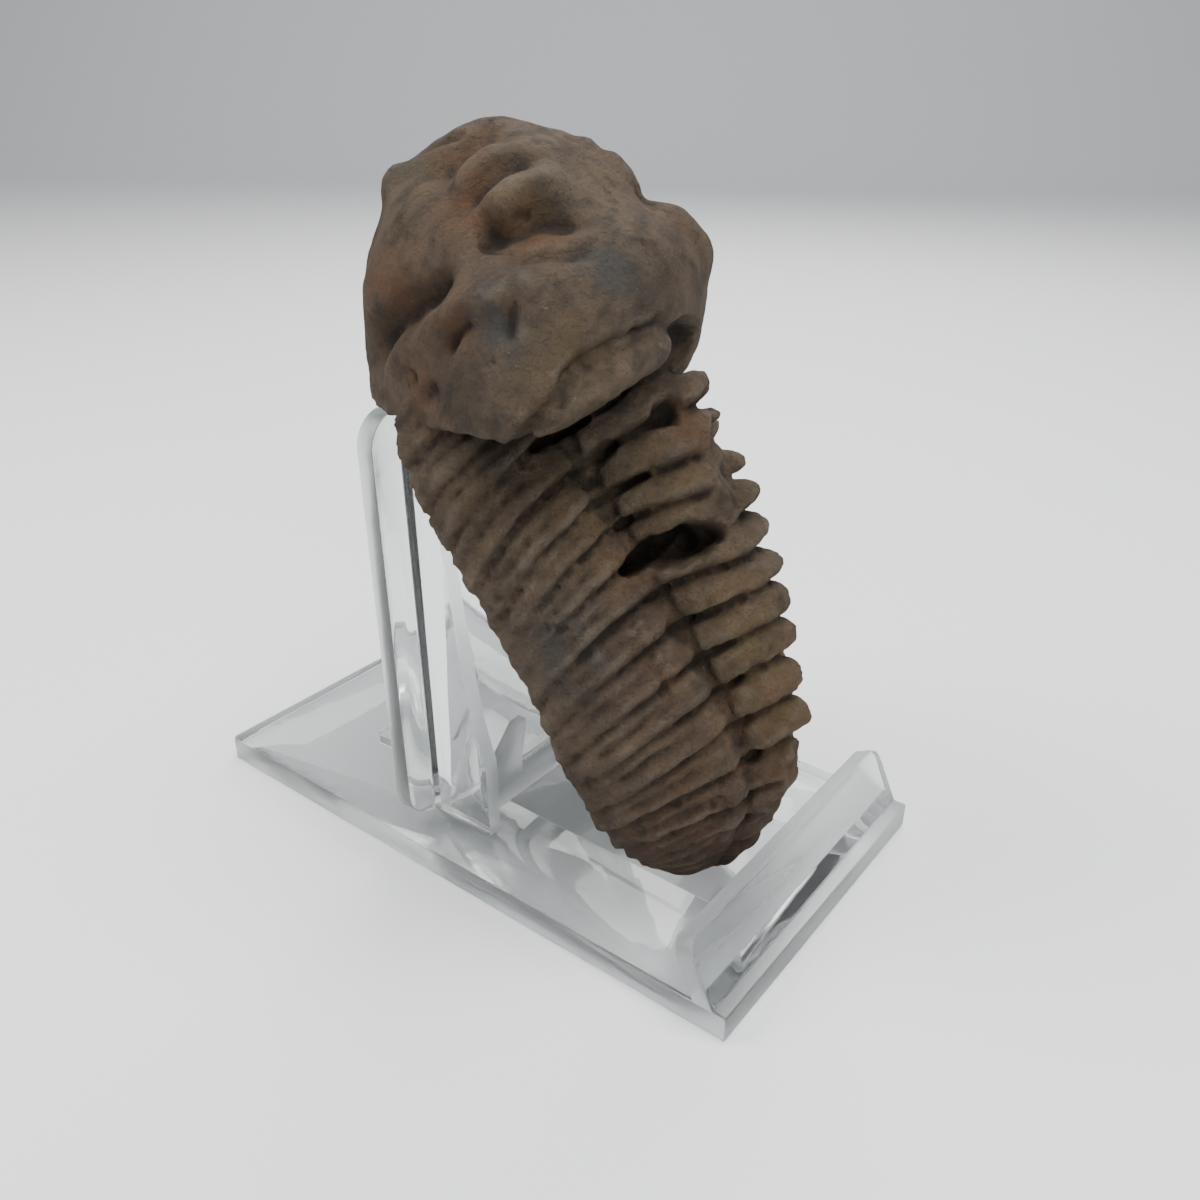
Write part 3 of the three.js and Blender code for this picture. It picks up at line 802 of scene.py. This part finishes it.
@dataclass(frozen=True)
class StoneFinish:
    """Matt brown stone with rusty furrows and grey-blue patches, with painted shade darkening its
    hollows, painted near-black shade in its deepest hollows and a painted highlight on its raised
    ridges.
    """

    taupe: Colour = (0.055, 0.038, 0.024)
    clay: Colour = (0.094, 0.065, 0.040)
    umber: Colour = (0.018, 0.014, 0.011)
    rust: Colour = (0.094, 0.044, 0.019)
    slate: Colour = (0.043, 0.041, 0.038)
    ochre: Colour = (0.100, 0.070, 0.030)
    # pale also serves as the painted highlight on raised ridges.
    redbrown: Colour = (0.058, 0.032, 0.021)
    pale: Colour = (0.155, 0.125, 0.092)
    # black is painted shade for the deepest hollows.
    black: Colour = (0.003, 0.003, 0.004)
    smoothest: float = 0.74
    roughest: float = 0.95
    shine: float = 0.25

    def material(self) -> bpy.types.Material:
        """Build the stone's material."""
        n = Nodes("fossil stone")
        broad, middle, fine = n.grain(9.0), n.grain(3.0, 3.0, 0.5), n.grain(0.45, 6.0, 0.75)
        colour = n.blend(n.span(broad, 0.36, 0.62), self.taupe, self.clay)
        colour = n.blend(n.math("MULTIPLY", n.span(middle, 0.48, 0.7), 0.4), colour, self.umber)
        drawn = n.math("MULTIPLY", n.span(n.attribute("streak"), 0.5, 0.9), 0.6)
        colour = n.blend(drawn, colour, self.umber)
        for tint, shade, size in (("ochre", self.ochre, 3.0), ("slate", self.slate, 3.2),
                                  ("tail", self.redbrown, 9.0), ("rust", self.rust, 4.5)):
            patchy = n.math("MULTIPLY", n.attribute(tint), n.span(n.grain(size), 0.3, 0.58))
            colour = n.blend(patchy, colour, shade)
        # Painted shade: hollows and creases are darkened towards umber.
        colour = n.blend(n.math("MULTIPLY", n.attribute("hollow"), 0.75), colour, self.umber)
        # Painted highlight: raised ridges are paled, patchily, towards pale stone.
        wear_and_highlight = n.math("MULTIPLY", n.attribute("ridge"), n.span(n.grain(3.5), 0.35, 0.7))
        colour = n.blend(n.math("MULTIPLY", wear_and_highlight, 0.45), colour, self.pale)
        colour = n.blend(n.math("MULTIPLY", n.span(fine, 0.5, 0.8), 0.35), colour, self.clay)
        colour = n.blend(n.math("MULTIPLY", n.span(fine, 0.5, 0.25), 0.55), colour, self.umber)
        speck = n.span(n.grain(0.8, 2.0), 0.72, 0.76)
        colour = n.blend(n.math("MULTIPLY", speck, 0.5), colour, self.pale)
        # Painted shade: the deepest hollows are painted near black.
        colour = n.blend(n.attribute("deep"), colour, self.black)
        shader = n.add("BsdfPrincipled")
        rough = n.add("MapRange")
        n.put(rough, Value=middle, To_Min=self.smoothest, To_Max=self.roughest)
        grit = n.bump(fine, 1.0, 0.35)
        n.put(shader, Base_Color=colour, Roughness=rough.outputs[0],
              Normal=n.bump(n.grain(1.8, 6.0, 0.65), 0.85, 0.8, grit))
        n.put(shader, Specular_IOR_Level=self.shine)
        return n.finish(shader)


@dataclass(frozen=True)
class AcrylicFinish:
    """Clear moulded plastic with a faint uneven haze and frosted cut edges."""

    tint: Colour = (0.90, 0.915, 0.915)
    depth_colour: Colour = (0.72, 0.78, 0.78)
    ior: float = 1.49
    haze: float = 0.015
    wear_and_highlight: float = 0.1
    frost: float = 0.42
    clearness: float = 0.985
    density: float = 14.0

    def material(self) -> bpy.types.Material:
        """Build the plastic's material: plain transmission with a light absorption."""
        n = Nodes("clear plastic")
        shader = n.add("BsdfPrincipled")
        wear = n.grain(2.5, 6.0, 0.75)
        rough = n.add("MapRange")
        n.put(rough, Value=wear, From_Min=0.4, From_Max=0.75, To_Min=self.haze, To_Max=self.wear_and_highlight)
        cut = n.math("MULTIPLY", n.attribute("cut"), self.frost)
        frosted = n.math("MAXIMUM", rough.outputs[0], cut)
        n.put(shader, Roughness=frosted, Normal=n.bump(n.grain(7.0, 2.0), 0.12, 0.4))
        shader.inputs["Base Color"].default_value = (*self.tint, 1.0)
        shader.inputs["IOR"].default_value = self.ior
        shader.inputs["Transmission Weight"].default_value = self.clearness
        n.finish(shader)
        absorb = n.add("VolumeAbsorption")
        absorb.inputs["Color"].default_value = (*self.depth_colour, 1.0)
        absorb.inputs["Density"].default_value = self.density
        n.tree.links.new(absorb.outputs[0], n.out.inputs["Volume"])
        return n.material


@dataclass(frozen=True)
class Crack:
    """A narrow furrow sunk in the finished skin along a line."""

    start: Point
    end: Point
    radius: float
    depth: float


@dataclass(frozen=True)
class Patch:
    """A soft patch of colour on the stone, for one of its named tints."""

    tint: str
    centre: Point
    radius: float
    strength: float = 1.0


@dataclass
class Fossil:
    """The trilobite: one stone, made of its trunk, neck ring and head grown together."""

    trunk: Trunk = field(default_factory=Trunk)
    neck: NeckRing = field(default_factory=NeckRing)
    head: Head = field(default_factory=Head)
    finish: StoneFinish = field(default_factory=StoneFinish)
    cell: float = 0.42
    lumps: float = 0.2
    grit: float = 0.07
    chips: float = 0.3
    rib_streaks: float = 0.16
    crack_wander: float = 0.4
    grain_way: Point = (0.6, -0.5, 0.62)
    grain_stretch: float = 0.85
    neck_z: float = 66.0
    near_rounds: int = 12
    far_rounds: int = 90
    cracks: tuple[Crack, ...] = (
        Crack((-21.2, -18.8, 65.6), (-19.7, -19.0, 67.8), 0.8, 1.6),
        Crack((-19.7, -19.0, 67.8), (-17.5, -19.3, 69.0), 0.8, 1.8),
        Crack((-17.5, -19.3, 69.0), (-14.2, -19.9, 70.2), 0.75, 1.6),
        Crack((-14.2, -19.9, 70.2), (-11.0, -20.3, 71.0), 0.65, 1.2),
        Crack((-11.0, -20.3, 71.0), (-7.6, -20.9, 71.4), 0.6, 1.0),
        Crack((-3.2, -20.0, 68.2), (3.4, -16.0, 65.8), 1.9, 3.2),
    )
    patches: tuple[Patch, ...] = (
        Patch("slate", (-12.3, -17.4, 77.1), 4.0, 0.9),
        Patch("slate", (-20.8, -11.0, 74.4), 3.2),
        Patch("slate", (-22.0, -12.3, 70.8), 3.0, 0.7),
        Patch("slate", (-11.0, -10.0, 83.0), 2.4, 0.7),
        Patch("slate", (-13.0, 8.0, 83.0), 3.0, 0.5),
        Patch("ochre", (-7.0, -31.5, 41.5), 5.5, 0.8),
        Patch("ochre", (-4.0, -36.4, 31.5), 6.5, 0.7),
        Patch("ochre", (-12.5, 7.5, 83.0), 4.0, 0.5),
        Patch("ochre", (-15.0, -9.0, 81.5), 3.0, 0.6),
        Patch("ochre", (-18.5, -17.0, 69.0), 4.5, 0.6),
        Patch("tail", (-5.0, -30.0, 8.0), 13.0),
        Patch("tail", (-14.0, -26.0, 16.0), 8.0, 0.7),
        Patch("rust", (-13.0, 0.2, 85.6), 3.6, 0.8),
        Patch("rust", (-16.8, -4.6, 81.8), 3.4, 0.9),
        Patch("rust", (-15.4, -11.6, 80.0), 3.2, 0.85),
        Patch("rust", (-21.0, 1.2, 71.0), 4.6, 0.95),
        Patch("rust", (-22.4, -7.6, 72.0), 3.0, 0.8),
        Patch("rust", (-23.6, -3.0, 64.4), 3.0, 0.7),
        Patch("rust", (-18.6, 7.0, 73.0), 5.0, 0.5),
        Patch("rust", (3.6, -10.0, 81.6), 6.0, 0.6),
        Patch("rust", (-4.6, -22.6, 60.6), 3.2, 0.8),
        Patch("rust", (-12.4, -20.0, 47.0), 4.0, 0.5),
        Patch("rust", (-14.0, -24.0, 36.0), 5.5, 0.45),
        Patch("rust", (-12.0, -31.0, 24.0), 5.5, 0.5),
        Patch("rust", (-7.0, -29.5, 44.0), 3.0, 0.5),
        Patch("rust", (-3.4, -38.0, 22.0), 5.0, 0.5),
        Patch("rust", (-5.5, -35.6, 32.0), 5.5, 0.55),
        Patch("slate", (-21.6, -20.6, 40.0), 4.5, 0.8),
        Patch("ochre", (-8.0, -22.0, 55.0), 4.5, 0.7),
        Patch("ochre", (-15.0, -15.0, 52.0), 5.0, 0.5),
    )

    def build(self) -> bpy.types.Object:
        """Build the stone, grow its parts together and give it its finish."""
        forms = {"trunk": self.trunk, "neck": self.neck, "head": self.head}
        parts = [new_object(name, *closed_skin(form.rings())) for name, form in forms.items()]
        stone = self.join(parts)
        self.roughen(stone)
        self.measure(stone)
        stone.data.materials.append(self.finish.material())
        stone.data.shade_smooth()
        return stone

    def join(self, parts: list[bpy.types.Object]) -> bpy.types.Object:
        """Put overlapping closed parts in one mesh and remesh it as one skin."""
        merged = bmesh.new()
        for part in parts:
            merged.from_mesh(part.data)
        bmesh.ops.recalc_face_normals(merged, faces=merged.faces)
        stone = new_object("fossil", np.zeros((0, 3)), [])
        merged.to_mesh(stone.data)
        merged.free()
        for part in parts:
            bpy.data.objects.remove(part)
        remesh = stone.modifiers.new("grow together", "REMESH")
        remesh.mode = "VOXEL"
        remesh.voxel_size = self.cell * MM
        apply_modifiers(stone)
        return stone

    def roughen(self, stone: bpy.types.Object) -> None:
        """Move the skin along its normals: lumps, grit, chips, streaks on the ribs, cracks."""
        mesh = stone.data
        points = read_points(mesh) / MM
        height = self.lumps * layered(points, 6.0, 3, 41)
        height += self.grit * layered(points, 1.5, 2, 51)
        height -= self.chips * ease(layered(points, 3.0, 3, 61), 0.75, 1.0)
        height += self.rib_streaks * self.streaks(points) * (points[:, 2] < self.neck_z)
        bent = points + self.crack_wander * noise(points, 2.0, 81)[:, None]
        for crack in self.cracks:
            distance = line_distance(bent, crack.start, crack.end)
            height -= crack.depth * bell(distance, crack.radius)
        points += read_normals(mesh) * height[:, None]
        mesh.vertices.foreach_set("co", (points * MM).astype(np.float32).ravel())
        mesh.update()

    def streaks(self, points: Array) -> Array:
        """Give noise drawn out about six times as long along the ribs as across them."""
        way = np.array(self.grain_way) / np.linalg.norm(self.grain_way)
        drawn = points - self.grain_stretch * (points @ way)[:, None] * way
        return layered(drawn, 1.1, 3, 71)

    def measure(self, stone: bpy.types.Object) -> None:
        """Store how hollow, raised or deep each place is, and the patches of tint.

        A place is hollow where the skin, smoothed over and over, lies above it. The hollow and
        deep masks carry painted shade and the raised mask a painted highlight.
        """
        mesh = stone.data
        points, normals, edges = read_points(mesh) / MM, read_normals(mesh), read_edges(mesh)
        near = smoothed(points, edges, self.near_rounds)
        far = smoothed(near, edges, self.far_rounds)
        small = ((near - points) * normals).sum(axis=1)
        large = ((far - points) * normals).sum(axis=1)
        # Mask for painted shade in hollows and creases.
        hollow = ease(large, 0.1, 1.1) + ease(small, 0.05, 0.25)
        set_attribute(mesh, "hollow", np.clip(hollow, 0, 1))
        # Mask for the painted highlight on raised ridges.
        set_attribute(mesh, "ridge", ease(-small, 0.03, 0.18))
        set_attribute(mesh, "streak", 0.5 + 0.4 * self.streaks(points))
        # Mask for the painted near-black shade in the deepest hollows.
        set_attribute(mesh, "deep", ease(large, 1.2, 2.2))
        for tint in ("slate", "ochre", "tail", "rust"):
            total = np.zeros(len(points))
            for patch in self.patches:
                if patch.tint == tint:
                    distance = np.linalg.norm(points - np.array(patch.centre), axis=1)
                    total += patch.strength * bell(distance, patch.radius)
            set_attribute(mesh, tint, np.clip(total, 0, 1))


@dataclass
class StandPiece:
    """One clear plastic piece: the model's own solid with its edges softened.

    Faces smaller than cut_area, in square millimetres, are cut edges and look frosted.
    """

    node: str
    name: str
    edge: float = 0.22
    segments: int = 2
    cut_area: float = 330.0
    weld: float = 1e-6
    flat_angle: float = 1.0
    bevel_angle: float = 35.0
    sharp_angle: float = 30.0

    def build(self, material: bpy.types.Material) -> bpy.types.Object:
        """Copy the solid, merge its loose triangles and bevel its sharp edges."""
        source = bpy.data.objects[self.node]
        work = bmesh.new()
        work.from_mesh(source.data)
        bmesh.ops.remove_doubles(work, verts=work.verts, dist=self.weld)
        bmesh.ops.dissolve_limit(
            work, angle_limit=math.radians(self.flat_angle), verts=work.verts, edges=work.edges
        )
        piece = new_object(self.name, np.zeros((0, 3)), [])
        work.to_mesh(piece.data)
        work.free()
        bevel = piece.modifiers.new("soft edges", "BEVEL")
        bevel.width = self.edge * MM
        bevel.segments = self.segments
        bevel.limit_method = "ANGLE"
        bevel.angle_limit = math.radians(self.bevel_angle)
        bevel.harden_normals = False
        apply_modifiers(piece)
        mesh = piece.data
        mesh.materials.clear()
        mesh.materials.append(material)
        mesh.shade_smooth()
        mesh.set_sharp_from_angle(angle=math.radians(self.sharp_angle))
        area = np.array([face.area for face in mesh.polygons]) / MM**2
        cut = mesh.attributes.new("cut", "FLOAT", "FACE")
        cut.data.foreach_set("value", (area < self.cut_area).astype(np.float32))
        return piece


@dataclass(frozen=True)
class View:
    """The photograph's camera: its place, the way it looks and its frame."""

    place: Point = (-98.6, -82.2, 97.6)
    yaw: float = 52.88
    pitch: float = -27.6
    roll: float = 0.55
    lens: float = 33.36
    sensor: float = 36.0
    near: float = 5.0

    def build(self) -> None:
        """Make the camera; its roll turns the picture about the line of sight."""
        yaw, pitch, roll = (math.radians(v) for v in (self.yaw, self.pitch, self.roll))
        forward = Vector((math.sin(yaw) * math.cos(pitch), math.cos(yaw) * math.cos(pitch),
                          math.sin(pitch)))
        level = Vector((math.cos(yaw), -math.sin(yaw), 0.0))
        upright = level.cross(forward)
        right = math.cos(roll) * level + math.sin(roll) * upright
        up = right.cross(forward)
        data = bpy.data.cameras.new("camera")
        data.lens = self.lens
        data.sensor_width = self.sensor
        data.clip_start = self.near * MM
        camera = bpy.data.objects.new("camera", data)
        turn = Matrix((right, up, -forward)).transposed().to_4x4()
        camera.matrix_world = Matrix.Translation(Vector(self.place) * MM) @ turn
        bpy.context.scene.collection.objects.link(camera)
        bpy.context.scene.camera = camera


@dataclass(frozen=True)
class Lamp:
    """A square lamp: its place and side in millimetres, its power in watts and its colour."""

    name: str
    place: Point
    size: float
    power: float
    colour: Colour


@dataclass
class Studio:
    """A pale floor that curves up behind the object, and soft light."""

    floor_tone: Colour = (0.62, 0.625, 0.635)
    reach: float = 1600.0
    drop: float = 0.15
    wall_distance: float = 640.0
    wall_radius: float = 320.0
    wall_height: float = 900.0
    heading: float = 52.88
    sky: Colour = (0.93, 0.96, 1.0)
    sky_strength: float = 0.36
    aim: Point = (-5.0, -15.0, 45.0)
    lamps: tuple[Lamp, ...] = (
        Lamp("key", (-240.0, 300.0, 420.0), 260.0, 2.8, (1.0, 0.99, 0.97)),
        Lamp("top", (20.0, -140.0, 620.0), 420.0, 7.4, (1.0, 1.0, 1.0)),
        Lamp("side", (330.0, 160.0, 340.0), 300.0, 1.6, (1.0, 0.99, 0.97)),
        Lamp("fill", (-300.0, -420.0, 260.0), 380.0, 2.2, (0.97, 0.985, 1.0)),
    )

    def build(self) -> None:
        """Build the floor and the lights."""
        self.floor()
        self.world()
        for lamp in self.lamps:
            self.light(lamp)

    def floor(self) -> None:
        """Sweep a profile that runs flat, turns a quarter circle and rises as a wall."""
        heading = math.radians(self.heading)
        away = np.array([math.sin(heading), math.cos(heading), 0.0])
        side = np.array([math.cos(heading), -math.sin(heading), 0.0])
        turn = np.linspace(0, math.pi / 2, 24)
        run = np.concatenate([[-self.reach], self.wall_distance + self.wall_radius * np.sin(turn)])
        rise = np.concatenate([[0.0], self.wall_radius * (1 - np.cos(turn))])
        run = np.append(run, run[-1])
        rise = np.append(rise, self.wall_height)
        across = np.array([-self.reach, self.reach])
        points = (run[:, None, None] * away + across[None, :, None] * side
                  + (rise[:, None, None] - self.drop) * np.array([0.0, 0.0, 1.0]))
        k = np.arange(len(run) - 1) * 2
        faces = [tuple(f) for f in np.stack([k, k + 1, k + 3, k + 2], axis=-1).tolist()]
        floor = new_object("floor", points.reshape(-1, 3), faces)
        floor.data.shade_smooth()
        n = Nodes("pale floor")
        shader = n.add("BsdfPrincipled")
        n.put(shader, Roughness=0.75, Specular_IOR_Level=0.2)
        shader.inputs["Base Color"].default_value = (*self.floor_tone, 1.0)
        floor.data.materials.append(n.finish(shader))

    def world(self) -> None:
        """Set an even pale sky."""
        world = bpy.data.worlds.new("studio")
        world.use_nodes = True
        background = world.node_tree.nodes["Background"]
        background.inputs["Color"].default_value = (*self.sky, 1.0)
        background.inputs["Strength"].default_value = self.sky_strength
        bpy.context.scene.world = world

    def light(self, lamp: Lamp) -> None:
        """Hang a lamp so that it faces the fossil."""
        data = bpy.data.lights.new(lamp.name, "AREA")
        data.size = lamp.size * MM
        data.energy = lamp.power
        data.color = lamp.colour
        hung = bpy.data.objects.new(lamp.name, data)
        sight = Vector(self.aim) - Vector(lamp.place)
        hung.rotation_euler = sight.to_track_quat("-Z", "Y").to_euler()
        hung.location = Vector(lamp.place) * MM
        bpy.context.scene.collection.objects.link(hung)


def main() -> None:
    """Build every piece in order and report it."""
    logging.basicConfig(level=logging.INFO, format="%(message)s")
    View().build()
    Studio().build()

    fossil = Fossil().build()
    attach(fossil, "root")
    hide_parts("trilobite")
    LOG.info("fossil: %d faces", len(fossil.data.polygons))

    plastic = AcrylicFinish().material()
    for node, name in (("stand_base", "clear_base"), ("stand_back", "clear_back_rest")):
        piece = StandPiece(node, name).build(plastic)
        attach(piece, "root")
        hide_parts(node)
        LOG.info("%s: %d faces", name, len(piece.data.polygons))


if __name__ == "__main__":
    main()
